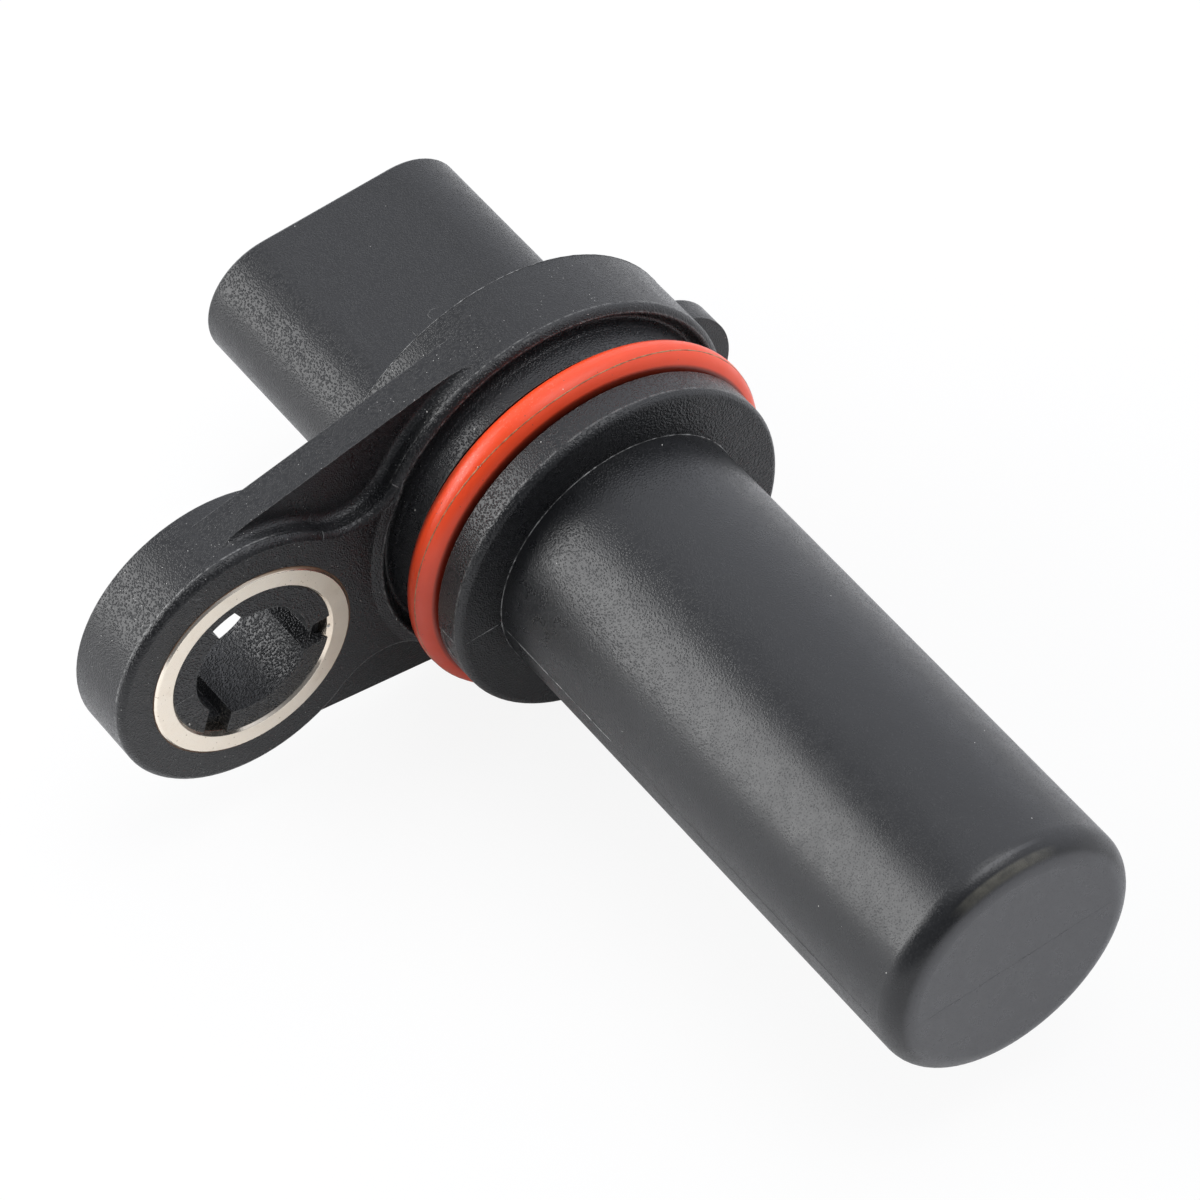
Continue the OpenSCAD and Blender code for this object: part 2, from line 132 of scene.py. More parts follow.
class Shader:
    """A procedural material. Its coordinates are the row frame's, in millimetres."""

    def __init__(self, name):
        self.mat = bpy.data.materials.new(name)
        self.mat.use_nodes = True
        self.tree = self.mat.node_tree
        self.bsdf = self.tree.nodes["Principled BSDF"]
        coords = self.node("ShaderNodeTexCoord")
        scaled = self.node("ShaderNodeVectorMath", operation="SCALE")
        scaled.inputs["Scale"].default_value = 1.0 / MM
        self.link(coords.outputs["Object"], scaled.inputs[0])
        self.at = scaled.outputs[0]
        parts = self.node("ShaderNodeSeparateXYZ")
        self.link(self.at, parts.inputs[0])
        self.x, self.y, self.z = parts.outputs

    def node(self, kind, **settings):
        made = self.tree.nodes.new(kind)
        for key, value in settings.items():
            setattr(made, key, value)
        return made

    def link(self, a, b):
        self.tree.links.new(a, b)

    def put(self, value, socket):
        """A socket is linked, and a number or colour is set."""
        if isinstance(value, bpy.types.NodeSocket):
            self.link(value, socket)
        elif isinstance(value, tuple) and len(value) == 3 and socket.type == "RGBA":
            socket.default_value = (*value, 1.0)
        else:
            socket.default_value = value

    def math(self, operation, a, b=0.0):
        made = self.node("ShaderNodeMath", operation=operation)
        self.put(a, made.inputs[0])
        self.put(b, made.inputs[1])
        return made.outputs[0]

    def times(self, a, b):
        return self.math("MULTIPLY", a, b)

    def plus(self, a, b):
        return self.math("ADD", a, b)

    def noise(self, scale, detail=3.0, rough=0.5, at=None):
        """Smooth noise. scale is in lumps per millimetre, and at takes another place."""
        made = self.node("ShaderNodeTexNoise")
        made.inputs["Scale"].default_value = scale
        made.inputs["Detail"].default_value = detail
        made.inputs["Roughness"].default_value = rough
        self.link(at or self.at, made.inputs["Vector"])
        return made.outputs[0]

    def step(self, value, low, high, to_low=0.0, to_high=1.0):
        """Smooth step from to_low, where the value is low, to to_high. low may be the larger one."""
        made = self.node("ShaderNodeMapRange", interpolation_type="SMOOTHSTEP")
        self.put(value, made.inputs["Value"])
        for key, number in zip(RANGE_SOCKETS, (low, high, to_low, to_high)):
            made.inputs[key].default_value = number
        return made.outputs["Result"]

    def mix(self, share, a, b):
        made = self.node("ShaderNodeMix", data_type="RGBA")
        self.put(share, made.inputs["Factor"])
        self.put(a, made.inputs[MIX_A])
        self.put(b, made.inputs[MIX_B])
        return made.outputs[MIX_RESULT]

    def band(self, value, centre, half):
        """1 round the centre, fading to 0 at half a width from it."""
        off = self.math("ABSOLUTE", self.math("SUBTRACT", value, centre))
        return self.step(off, half, BAND_CORE * half)

    def radius(self, y_centre=0.0):
        """Distance from an axis along X."""
        y = self.math("SUBTRACT", self.y, y_centre)
        return self.math("SQRT", self.plus(self.times(y, y), self.times(self.z, self.z)))

    def turn(self):
        """Angle round the probe's axis, from +Y towards +Z."""
        return self.math("ARCTAN2", self.z, self.y)

    def vector(self, x):
        """A place on the X axis."""
        made = self.node("ShaderNodeCombineXYZ")
        self.link(x, made.inputs[0])
        return made.outputs[0]

    def soft_normal(self, round_mm):
        made = self.node("ShaderNodeBevel", samples=BEVEL_SAMPLES)
        made.inputs["Radius"].default_value = round_mm * MM
        return made.outputs[0]

    def edges(self, soft):
        """1 on sharp edges, 0 elsewhere."""
        geometry = self.node("ShaderNodeNewGeometry")
        dot = self.node("ShaderNodeVectorMath", operation="DOT_PRODUCT")
        self.link(soft, dot.inputs[0])
        self.link(geometry.outputs["Normal"], dot.inputs[1])
        return self.step(dot.outputs["Value"], EDGE_START, EDGE_FULL)

    def cells(self, scale):
        """The outputs of a cell pattern. scale is in cells per millimetre."""
        made = self.node("ShaderNodeTexVoronoi")
        made.inputs["Scale"].default_value = scale
        self.link(self.at, made.inputs["Vector"])
        return made.outputs

    def specks(self, scale, size, share):
        """Small dots, one in some of the cells."""
        cells = self.cells(scale)
        near = self.step(cells["Distance"], size * scale, SPECK_CORE * size * scale)
        parts = self.node("ShaderNodeSeparateColor")
        self.link(cells["Color"], parts.inputs[0])
        chosen = self.math("LESS_THAN", parts.outputs[0], share)
        return self.times(near, chosen)

    def pebbles(self, scale):
        """Close-set small humps, as spark erosion leaves them in a mould."""
        return self.step(self.cells(scale)["Distance"], PEBBLE_END, PEBBLE_FULL)

    def bump(self, height, depth_mm, strength, normal=None):
        made = self.node("ShaderNodeBump")
        made.inputs["Strength"].default_value = strength
        made.inputs["Distance"].default_value = depth_mm * MM
        self.put(height, made.inputs["Height"])
        if normal is not None:
            self.link(normal, made.inputs["Normal"])
        return made.outputs[0]

    def finish(self, **values):
        """Sets inputs of the surface by their names, and returns the material."""
        for key, value in values.items():
            self.put(value, self.bsdf.inputs[key.replace("_", " ").title()])
        return self.mat


# Black plastic

BLACK_LOW = (0.0085, 0.0090, 0.0100)
BLACK_HIGH = (0.0135, 0.0142, 0.0156)
# The scuff colour serves both rubbed wear and painted highlights on edges
SCUFF_AND_SHEEN = (0.21, 0.21, 0.205)
FLECK = (0.055, 0.056, 0.058)
DUST = (0.62, 0.61, 0.58)
# The recess grey is painted light that eases the recess's shadow
RECESS_PAINTED_LIGHT = (0.034, 0.035, 0.038)
TIP_GREY = (0.072, 0.073, 0.077)
# The yellow below is a painted highlight on the tip's rounding
TIP_PAINTED_SHEEN = (0.105, 0.101, 0.083)
# How much of a mark's own colour shows
FLECK_SHARE = 0.3
RUB_AND_SHEEN_SHARE = 0.75
RECESS_LIGHT_SHARE = 0.3
TIP_LINE_SHARE = 0.5
# Places where a change of the surface starts and where it is full, in millimetres
COLLAR_SKIN_Y = (-6.0, 9.0)
PROBE_FADE_X = (15.0, 36.0)
EAR_LINE_Y = (-18.0, -21.0)
# Middle of the tip's two pale strips, as an angle round the probe; the first is a painted yellowish
# highlight
TIP_SHEEN_TURN = math.radians(92)
TIP_LINE_TURN = math.radians(88)


def black_plastic(name, shine, lift, grain, grain_depth, motes=None, coarse=None, wear_and_light=None, fade=None,
                  edge_round=0.1):
    """Glass-filled moulded plastic: fine spark-erosion grain, mottling, pale edges that are partly rubbed
    wear and partly painted highlight, dust.
    motes, coarse, worn and fade are functions that give extra masks from the shader."""
    s = Shader(name)
    soft = s.soft_normal(edge_round)
    low, high = (tuple(lift * c for c in tone) for tone in (BLACK_LOW, BLACK_HIGH))
    tone = s.mix(s.noise(0.45, 4.0, 0.6), low, high)
    fleck = s.step(s.noise(grain * 1.2, 1.0, 0.5), 0.60, 0.74)
    tone = s.mix(s.times(fleck, FLECK_SHARE), tone, FLECK)
    # Pale edges: partly rubbed wear, partly a painted highlight where edges catch the light
    rub_and_sheen = s.times(s.edges(soft), s.step(s.noise(2.8, 4.0, 0.75), 0.36, 0.62))
    tone = s.mix(s.times(rub_and_sheen, RUB_AND_SHEEN_SHARE), tone, SCUFF_AND_SHEEN)
    # The extra masks hold wear, painted highlights and a recess painted lighter
    if wear_and_light is not None:
        for mask, colour in wear_and_light(s):
            tone = s.mix(mask, tone, colour)
    if motes is not None:
        tone = s.mix(s.times(s.specks(3.4, 0.032, 0.5), motes(s)), tone, DUST)
    tone = s.mix(s.specks(0.9, 0.045, 0.22), tone, DUST)
    pebbles = s.pebbles(grain)
    uneven = s.step(s.noise(0.8, 3.0), 0.3, 0.7, 0.33, 0.40)
    rough = s.plus(uneven, s.step(pebbles, 0.3, 0.7, -0.07, 0.09))
    height = s.plus(pebbles, s.times(s.noise(grain * 0.3, 2.0), 0.2))
    if coarse is not None:
        height = s.plus(height, s.times(coarse(s), s.noise(5.5, 2.0, 0.6)))
    if fade is not None:
        height = s.times(height, fade(s))
    normal = s.bump(height, grain_depth, 1.0, soft)
    s.put(shine, s.bsdf.inputs["Specular IOR Level"])
    return s.finish(base_color=tone, roughness=rough, normal=normal)


def collar_grain(s):
    """The collar's front has a leathery skin, most of all on its right."""
    front = s.step(s.x, COLLAR_FRONT - 0.25, COLLAR_FRONT - 0.05)
    return s.times(front, s.step(s.y, *COLLAR_SKIN_Y, 1.2, 5.0))


def bore_grain(s):
    """The retainer is coarser in its bore."""
    return s.step(s.radius(BOLT_Y), BOLT_BORE_R + 0.3, BOLT_BORE_R + 0.1, 0.0, 0.7)


def probe_fade(s):
    """The probe is rubbed smooth towards its tip."""
    return s.step(s.x, *PROBE_FADE_X, 1.0, 0.3)


def flange_motes(s):
    """Dust lies on the flange, hardly on neck and collar, and not on the sleeve."""
    not_sleeve = s.step(s.x, FLANGE_REAR - 0.6, FLANGE_REAR)
    hardly_collar = s.step(s.x, 1.2, 0.4, 0.15, 1.0)
    patchy = s.step(s.noise(0.4, 3.0), 0.35, 0.6)
    return s.times(s.times(not_sleeve, hardly_collar), patchy)


def flange_wear_and_light(s):
    """Pale lines where the roundings of ear, disc, rim and collar begin, partly rubbed wear and partly
    painted highlight, and a recess painted a lighter grey as painted light against its shadow.
    """
    r = s.radius()
    ragged = s.step(s.noise(3.0, 4.0, 0.75), 0.40, 0.62)
    on_ear = s.times(s.band(s.radius(BOLT_Y), EAR_R, 0.12), s.step(s.y, *EAR_LINE_Y))
    # These pale lines are partly rubbed wear and partly painted highlight
    lines = (
        (s.band(s.x, -EDGE_ROUND, 0.08), on_ear, 0.85),
        (s.band(s.x, -EDGE_ROUND, 0.07), s.band(r, DISC_R, 0.12), 0.55),
        (s.band(s.x, 0.1, 0.28), s.band(r, RIM_R + 0.04, 0.09), 0.55),
        (s.band(s.x, COLLAR_FRONT - COLLAR_ROUND, 0.10), s.band(r, COLLAR_R, 0.12), 0.45),
    )
    for along, across, share in lines:
        mask = s.times(s.times(along, across), ragged)
        yield s.times(mask, share), SCUFF_AND_SHEEN
    # Painted light: the recess gets a lighter grey that eases its shadow
    recess = s.times(s.step(r, RIM_R + 0.05, RIM_R - 0.1), s.band(s.x, 0.0, 2.2))
    yield s.times(recess, RECESS_LIGHT_SHARE), RECESS_PAINTED_LIGHT


def tip_wear_and_sheen(s):
    """The tip's face is rubbed grey, and its upper edge has a painted yellowish highlight and a grey line.
    """
    turn = s.turn()
    yield s.step(s.x, TIP_X - 0.35, TIP_X - 0.06, 0.0, 0.9), TIP_GREY
    # Painted highlight: a pale yellowish strip stands in for a warm reflection on the rounding
    pale = s.times(s.band(turn, TIP_SHEEN_TURN, 0.50), s.band(s.x, TIP_X - 0.46, 0.30))
    yield s.times(pale, s.step(s.noise(1.2, 3.0), 0.25, 0.6, 0.45, 0.95)), TIP_PAINTED_SHEEN
    line = s.times(s.band(turn, TIP_LINE_TURN, 0.34), s.band(s.x, TIP_X - 1.18, 0.18))
    yield s.times(line, TIP_LINE_SHARE), TIP_GREY


# Silicone

SEAL_LOW = (0.82, 0.058, 0.010)
SEAL_HIGH = (0.90, 0.074, 0.015)
SEAL_SCUFF = (0.90, 0.42, 0.32)
SEAL_DIRT = (0.16, 0.05, 0.035)
SEAL_LINT = (0.85, 0.66, 0.55)
SEAL_PAINTED_SHADOW = (0.10, 0.013, 0.006)
SEAL_PAINTED_SHADE = (0.42, 0.032, 0.010)
SEAL_SCUFF_SHARE = 0.45
SEAL_DIRT_SHARE = 0.8
# Where the scuffs lie and where the left begins, as angles round the probe
SEAL_SCUFF_TURN = math.radians(118)
SEAL_LEFT_TURN = (math.radians(112), math.radians(140))
# Where the painted shade on the lower left starts and where it is full, in millimetres
SEAL_SHADE_Z = (8.4, 1.6)
SEAL_SHADE_Y = (0.0, -2.0)


def silicone():
    """Orange-red rubber with painted shadow where it dips into its groove and painted shade on its lower
    left, with scuffs and dirt.
    """
    s = Shader("silicone_orange_red")
    turn = s.turn()
    tone = s.mix(s.noise(0.5, 4.0, 0.6), SEAL_LOW, SEAL_HIGH)
    upper = s.times(s.band(turn, SEAL_SCUFF_TURN, 0.6), s.band(s.x, SEAL_X - 0.15, 0.7))
    scuff = s.times(upper, s.step(s.noise(5.0, 4.0, 0.8), 0.56, 0.70))
    tone = s.mix(s.times(scuff, SEAL_SCUFF_SHARE), tone, SEAL_SCUFF)
    tone = s.mix(s.times(s.specks(1.8, 0.045, 0.4), SEAL_DIRT_SHARE), tone, SEAL_DIRT)
    tone = s.mix(s.specks(1.3, 0.04, 0.2), tone, SEAL_LINT)
    # Painted shadow: the front, and the rear on the left, darken where the groove shades the seal
    front = s.step(s.x, SEAL_X + 1.13, SEAL_X + 1.23, 0.0, 0.9)
    rear = s.step(s.x, SEAL_X - 0.15, SEAL_X - 0.75, 0.0, 0.8)
    sides = s.plus(front, s.times(s.step(turn, *SEAL_LEFT_TURN), rear))
    tone = s.mix(sides, tone, SEAL_PAINTED_SHADOW)
    # Painted shade: the lower left of the seal is darkened
    lower = s.times(s.step(s.z, *SEAL_SHADE_Z, 0.0, 0.38), s.step(s.y, *SEAL_SHADE_Y))
    tone = s.mix(lower, tone, SEAL_PAINTED_SHADE)
    rough = s.step(s.noise(0.9, 3.0), 0.3, 0.7, 0.30, 0.42)
    normal = s.bump(s.noise(4.0, 3.0, 0.6), 0.010, 0.7)
    return s.finish(base_color=tone, roughness=rough, normal=normal, subsurface_weight=0.08,
                    subsurface_scale=0.0005)


# Metals

STEEL_LOW = (0.95, 0.845, 0.70)
STEEL_HIGH = (0.985, 0.91, 0.80)
STEEL_STAIN = (0.60, 0.47, 0.33)
STEEL_PIT = (0.36, 0.27, 0.18)
STEEL_RIM = (0.24, 0.16, 0.09)
STEEL_PAINTED_SHADE = (0.60, 0.48, 0.36)
STEEL_STAIN_SHARE = 0.30
STEEL_PIT_SHARE = 0.7
STEEL_RIM_SHARE = 0.85
STEEL_RIM_ROUGHER = 0.35
BRASS_LOW = (0.66, 0.60, 0.48)
BRASS_HIGH = (0.78, 0.74, 0.66)
# Drawing lines are long in X and fine across it
DRAWN_SCALE = (0.3, 9.0, 9.0)
METAL_EDGE_ROUND = 0.06


def nickel_steel():
    """Turned and plated steel: fine rings round the bolt axis, small dents, brownish stains, and painted
    shade on its right.
    """
    s = Shader("nickel_plated_steel")
    r = s.radius(BOLT_Y)
    rings = s.noise(14.0, 2.0, 0.6, at=s.vector(r))
    stain = s.step(s.noise(0.9, 5.0, 0.7), 0.52, 0.8)
    tone = s.mix(s.noise(1.2, 4.0, 0.6), STEEL_LOW, STEEL_HIGH)
    tone = s.mix(s.times(stain, STEEL_STAIN_SHARE), tone, STEEL_STAIN)
    tone = s.mix(s.times(s.specks(2.4, 0.06, 0.35), STEEL_PIT_SHARE), tone, STEEL_PIT)
    right = s.step(s.y, BOLT_Y - 2.0, BOLT_Y + 3.0)
    rim = s.times(s.step(r, BUSH_R - 0.16, BUSH_R - 0.06), right)
    tone = s.mix(s.times(rim, STEEL_RIM_SHARE), tone, STEEL_RIM)
    # Painted shade: the bush's right side is darkened, standing in for the shaded floor it reflects
    far_right = s.step(s.y, BOLT_Y + 2.0, BOLT_Y + 6.5)
    right_painted_shade = s.times(far_right, s.step(s.noise(0.6, 3.0), 0.2, 0.7, 0.30, 0.50))
    tone = s.mix(right_painted_shade, tone, STEEL_PAINTED_SHADE)
    uneven = s.step(s.noise(2.2, 4.0, 0.65), 0.3, 0.75, 0.13, 0.24)
    rough = s.plus(uneven, s.times(rim, STEEL_RIM_ROUGHER))
    height = s.plus(s.times(rings, 0.4), s.noise(2.6, 3.0, 0.6))
    normal = s.bump(height, 0.010, 0.5, s.soft_normal(METAL_EDGE_ROUND))
    return s.finish(base_color=tone, roughness=rough, metallic=1.0, normal=normal)


def tinned_brass():
    """Mottled tin on brass strip, with fine drawing lines."""
    s = Shader("tinned_brass")
    tone = s.mix(s.noise(1.0, 4.0, 0.6), BRASS_LOW, BRASS_HIGH)
    drawn = s.node("ShaderNodeVectorMath", operation="MULTIPLY")
    s.link(s.at, drawn.inputs[0])
    drawn.inputs[1].default_value = DRAWN_SCALE
    lines = s.noise(1.0, 3.0, 0.6, at=drawn.outputs[0])
    rough = s.step(lines, 0.3, 0.7, 0.26, 0.42)
    normal = s.bump(lines, 0.006, 0.5, s.soft_normal(METAL_EDGE_ROUND))
    return s.finish(base_color=tone, roughness=rough, metallic=1.0, normal=normal)


# Plain materials

def plain_grain(name, low, high, rough=(0.4, 0.6), metallic=0.0, scale=3.0):
    """A mottled colour with a fine grain, for inner pieces and residues."""
    s = Shader(name)
    tone = s.mix(s.noise(0.7, 4.0, 0.6), low, high)
    roughness = s.step(s.noise(1.3, 3.0), 0.3, 0.7, *rough)
    normal = s.bump(s.noise(scale, 3.0, 0.6), 0.01, 0.6)
    return s.finish(base_color=tone, roughness=roughness, metallic=metallic, normal=normal)


def thin_flash(name, low, high):
    """Thin feathered plastic or rubber, in patches of two tones."""
    s = Shader(name)
    tone = s.mix(s.step(s.noise(2.0, 4.0, 0.7), 0.35, 0.65), low, high)
    rough = s.step(s.noise(5.0), 0.3, 0.7, 0.3, 0.5)
    normal = s.bump(s.noise(8.0), 0.006, 0.6)
    return s.finish(base_color=tone, roughness=rough, normal=normal)


def dress():
    """Each CAD node's own material."""
    housing = black_plastic("housing_plastic", shine=0.48, lift=0.9, grain=7.5, grain_depth=0.026,
                            motes=flange_motes, coarse=collar_grain, wear_and_light=flange_wear_and_light)
    cup = black_plastic("probe_plastic", shine=0.52, lift=1.25, grain=7.0, grain_depth=0.012,
                        wear_and_light=tip_wear_and_sheen, fade=probe_fade)
    retainer = black_plastic("retainer_plastic", shine=0.52, lift=1.15, grain=7.0, grain_depth=0.060,
                             coarse=bore_grain, edge_round=0.06)
    brass = tinned_brass()
    lead = plain_grain("lead_tin", (0.62, 0.60, 0.57), (0.74, 0.72, 0.70), (0.25, 0.4), 1.0)
    ceramic = plain_grain("capacitor_ceramic", (0.30, 0.20, 0.11), (0.42, 0.30, 0.17))
    resin = plain_grain("potting_resin", (0.020, 0.014, 0.010), (0.032, 0.022, 0.014), (0.2, 0.35))
    board = plain_grain("board_laminate", (0.010, 0.085, 0.030), (0.016, 0.12, 0.045), (0.3, 0.45))
    looks = {
        "housing": housing,
        "probe_cup": cup,
        "sealing_ring": silicone(),
        "compression_limiter": nickel_steel(),
        "bolt_retainer": retainer,
        "resin_plug": resin,
        "inner_carrier": plain_grain("carrier_plastic", (0.060, 0.060, 0.064), (0.085, 0.085, 0.09)),
        "circuit_board": board,
        "resistor": plain_grain("resistor_black", (0.012, 0.012, 0.013), (0.022, 0.022, 0.023)),
        "magnet": plain_grain("magnet_grey", (0.10, 0.10, 0.105), (0.16, 0.16, 0.165), (0.35, 0.5), 0.8),
        "pole_plate": plain_grain("pole_steel", (0.50, 0.48, 0.45), (0.62, 0.60, 0.56), (0.3, 0.45), 1.0),
        "hall_chip": plain_grain("chip_epoxy", (0.010, 0.010, 0.011), (0.018, 0.018, 0.019), (0.45, 0.6)),
    }
    for side in ("left", "middle", "right"):
        looks["terminal_" + side] = brass
        looks["chip_lead_" + side] = lead
    for use in ("supply", "signal"):
        looks["capacitor_" + use] = ceramic
    for name, mat in looks.items():
        mesh = NODES[name].data
        mesh.materials.clear()
        mesh.materials.append(mat)
    return looks


LOOKS = dress()


# Tools for small shapes

# Corners of a bead's section, steps of a ring, and steps of a thread between two points
SECTION = 8
RING_STEPS = 360
THREAD_STEPS = 6
# A direction that no thread runs along
THREAD_ASIDE = Vector((0.3, 0.2, 0.93))


def piece(name, bm, mat):
    """A finished mesh becomes a piece of the object."""
    bmesh.ops.recalc_face_normals(bm, faces=bm.faces[:])
    mesh = bpy.data.meshes.new(name)
    bm.to_mesh(mesh)
    bm.free()
    for face in mesh.polygons:
        face.use_smooth = True
    mesh.materials.append(mat)
    made = bpy.data.objects.new(name, mesh)
    bpy.context.scene.collection.objects.link(made)
    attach(made, "root")


def wobble(at, scale):
    """Smooth noise between about 0 and 1."""
    return 0.5 + 0.5 * noise.noise(Vector(at) * scale)


def taper(t, end, steep):
    """Share of the thickness: end at both ends, and 1 from 1 / steep of the length inwards."""
    return end + (1 - end) * min(1.0, steep * t, steep * (1 - t))


def out(degrees):
    """Direction across the probe axis, from +Y towards +Z."""
    a = math.radians(degrees)
    return Vector((0, math.cos(a), math.sin(a)))


def leaning(way, degrees):
    """A direction that leans from way towards +X, and the direction across it."""
    a = math.radians(degrees)
    return way * math.cos(a) + AXIS * math.sin(a), AXIS * math.cos(a) - way * math.sin(a)


def bead(bm, path, closed=False):
    """A thin raised bead. path holds (point, normal, side, half width, height) in millimetres."""
    rings = []
    for point, normal, side, half, height in path:
        ring = []
        for k in range(SECTION):
            a = 2 * math.pi * k / SECTION
            across = side * (half * math.cos(a))
            outward = normal * (height * math.sin(a))
            ring.append(bm.verts.new((point + across + outward) * MM))
        rings.append(ring)
    pairs = list(zip(rings, rings[1:]))
    if closed:
        pairs.append((rings[-1], rings[0]))
    for one, two in pairs:
        for k in range(SECTION):
            j = (k + 1) % SECTION
            bm.faces.new((one[k], one[j], two[j], two[k]))
    if not closed:
        bm.faces.new(rings[0])
        bm.faces.new(rings[-1])


def ring_path(x, r, half, height, rough, tilt=45.0, y_centre=0.0):
    """Closed path round an axis along X. The bead stands out at tilt from the radius towards +X."""
    path = []
    for k in range(RING_STEPS):
        way = out(360.0 * k / RING_STEPS)
        point = Vector((x, y_centre, 0)) + way * r
        normal, side = leaning(way, tilt)
        slow = wobble(point, 0.9)
        fast = wobble(point + AXIS * 7, 3.1)
        grow = 1 - rough + 2 * rough * slow * fast * 1.6
        path.append((point, normal, side, half * grow, height * grow))
    return path


def line_path(start, end, normal, half, height, rough, steps):
    """Straight path, thinner at its ends. Its width lies along Z."""
    path = []
    for k in range(steps + 1):
        t = k / steps
        point = start.lerp(end, t)
        grow = 1 - rough + 2 * rough * wobble(point, 0.7)
        ends = taper(t, 0.1, 12)
        path.append((point, normal, UP, half * grow * ends, height * grow * ends))
    return path


def lines_along(bm, turns, r, start, end, **form):
    """Straight lines on a round wall, between two places on the axis."""
    for degrees in turns:
        way = out(degrees)
        bead(bm, line_path(AXIS * start + way * r, AXIS * end + way * r, way, **form))


def thread(bm, points, half):
    """A fine round thread through the points, tapering at its ends."""
    points = [Vector(p) for p in points]
    path = []
    for a, b in zip(points, points[1:]):
        for k in range(THREAD_STEPS):
            path.append(a.lerp(b, k / THREAD_STEPS))
    path.append(points[-1])
    inner = [(a + b + c) / 3 for a, b, c in zip(path, path[1:], path[2:])]
    smooth = [path[0], *inner, path[-1]]
    last = len(smooth) - 1
    made = []
    for i, point in enumerate(smooth):
        way = (smooth[min(i + 1, last)] - smooth[max(i - 1, 0)]).normalized()
        side = way.cross(THREAD_ASIDE).normalized()
        thick = half * taper(i / last, 0.35, 6)
        made.append((point, side.cross(way), side, thick, thick))
    bead(bm, made)


# The slope in the neck recess

# Radius and height of the slope, from inside the rim over its crest and down to the neck
RECESS_SLOPE = (
    (13.30, -0.40), (13.18, -0.11), (13.08, -0.035), (12.98, 0.0), (12.88, -0.03), (12.78, -0.13),
    (12.69, -0.28), (12.59, -0.46), (12.47, -0.63), (12.33, -0.76), (12.20, -0.78), (12.09, -0.68),
    (12.02, -0.48), (11.975, -0.20), (11.945, 0.12), (11.80, 0.40),
)
RECESS_BACK = ((11.80, -1.30), (13.30, -1.30))
# How far the rim stands up, to which angle on both sides of the ear, and over which angle it runs out
RIM_RISE = 0.23
RIM_TURN = 32.4
RIM_FADE = 5.0


def recess_slope():
    """A ring in the recess. On the ear's side it follows the rim, which stands higher there."""
    bm = bmesh.new()
    rings = []
    for k in range(RING_STEPS):
        turn = 360.0 * k / RING_STEPS
        way = out(turn)
        high = min(1.0, max(0.0, (RIM_TURN + RIM_FADE - abs(turn - EAR_SIDE)) / RIM_FADE))
        high = high * high * (3 - 2 * high)
        ring = []
        for r, x in RECESS_SLOPE:
            share = min(1.0, max(0.0, (r - NECK_R) / (RIM_R - NECK_R)))
            ring.append(bm.verts.new((way * r + AXIS * (x + RIM_RISE * high * share)) * MM))
        ring += [bm.verts.new((way * r + AXIS * x) * MM) for r, x in RECESS_BACK]
        rings.append(ring)
    for k, one in enumerate(rings):
        two = rings[(k + 1) % RING_STEPS]
        for i in range(len(one)):
            j = (i + 1) % len(one)
            bm.faces.new((one[i], one[j], two[j], two[i]))
    piece("neck_recess_slope", bm, LOOKS["housing"])


# Small shapes that moulding and handling leave

# Angles of the mould's parting lines round the axis
PROBE_LINE_TURNS = (182, 0)
COLLAR_LINE_TURNS = (180, 0)
# The probe's line is clear from the collar to here
CLEAR_LINE_END = 19.0
# A curl of flash that hangs on the collar
CURL = (
    (5.25, -12.21, -0.15), (5.55, -12.19, -0.75), (5.66, -12.11, -1.55), (6.05, -12.06, -2.05),
    (6.55, -12.10, -1.85),
)
# Angles between which the disc's rear edge has flash
DISC_FLASH = (18, 139)
# A burr of two threads and a fibre on that edge: angle, half thickness, and points from the edge
EDGE_THREADS = (
    (112.0, 0.03, ((0, 0, 0), (-0.25, -0.12, 0.22), (-0.42, -0.30, 0.50))),
    (112.0, 0.025, ((0, 0, 0), (-0.10, 0.10, 0.25), (-0.16, 0.12, 0.42))),
    (106.0, 0.012, ((0, 0, 0), (-0.35, -0.25, 0.42), (-0.45, 0.15, 0.62), (-0.30, 0.65, 0.55))),
)
# A fine scratch on the ear's face
SCRATCH = ((0.0, -25.95, 8.42), (0.0, -25.62, 8.12), (0.0, -25.30, 8.06), (0.0, -25.02, 8.20))


def probe_marks(pale, dull, rubbed):
    """Flash at the collar, and the parting line: clear, then faint, and across the tip's face."""
    bm = bmesh.new()
    bead(bm, ring_path(COLLAR_FRONT + 0.01, PROBE_R + 0.015, 0.03, 0.03, rough=0.8), closed=True)
    piece("probe_flash_ring", bm, pale)

    bm = bmesh.new()
    lines_along(bm, PROBE_LINE_TURNS, PROBE_R, COLLAR_FRONT + 0.1, CLEAR_LINE_END,
                half=0.034, height=0.026, rough=0.6, steps=120)
    piece("probe_parting_line", bm, pale)

    bm = bmesh.new()
    lines_along(bm, PROBE_LINE_TURNS, PROBE_R, CLEAR_LINE_END, TIP_X - TIP_ROUND,
                half=0.028, height=0.022, rough=0.6, steps=200)
    piece("probe_faint_line", bm, dull)

    bm = bmesh.new()
    tip = AXIS * TIP_X
    reach = PROBE_R - TIP_ROUND
    bead(bm, line_path(tip + out(180) * reach, tip + out(0) * reach, AXIS,
                       half=0.03, height=0.012, rough=0.7, steps=120))
    piece("tip_parting_line", bm, rubbed)


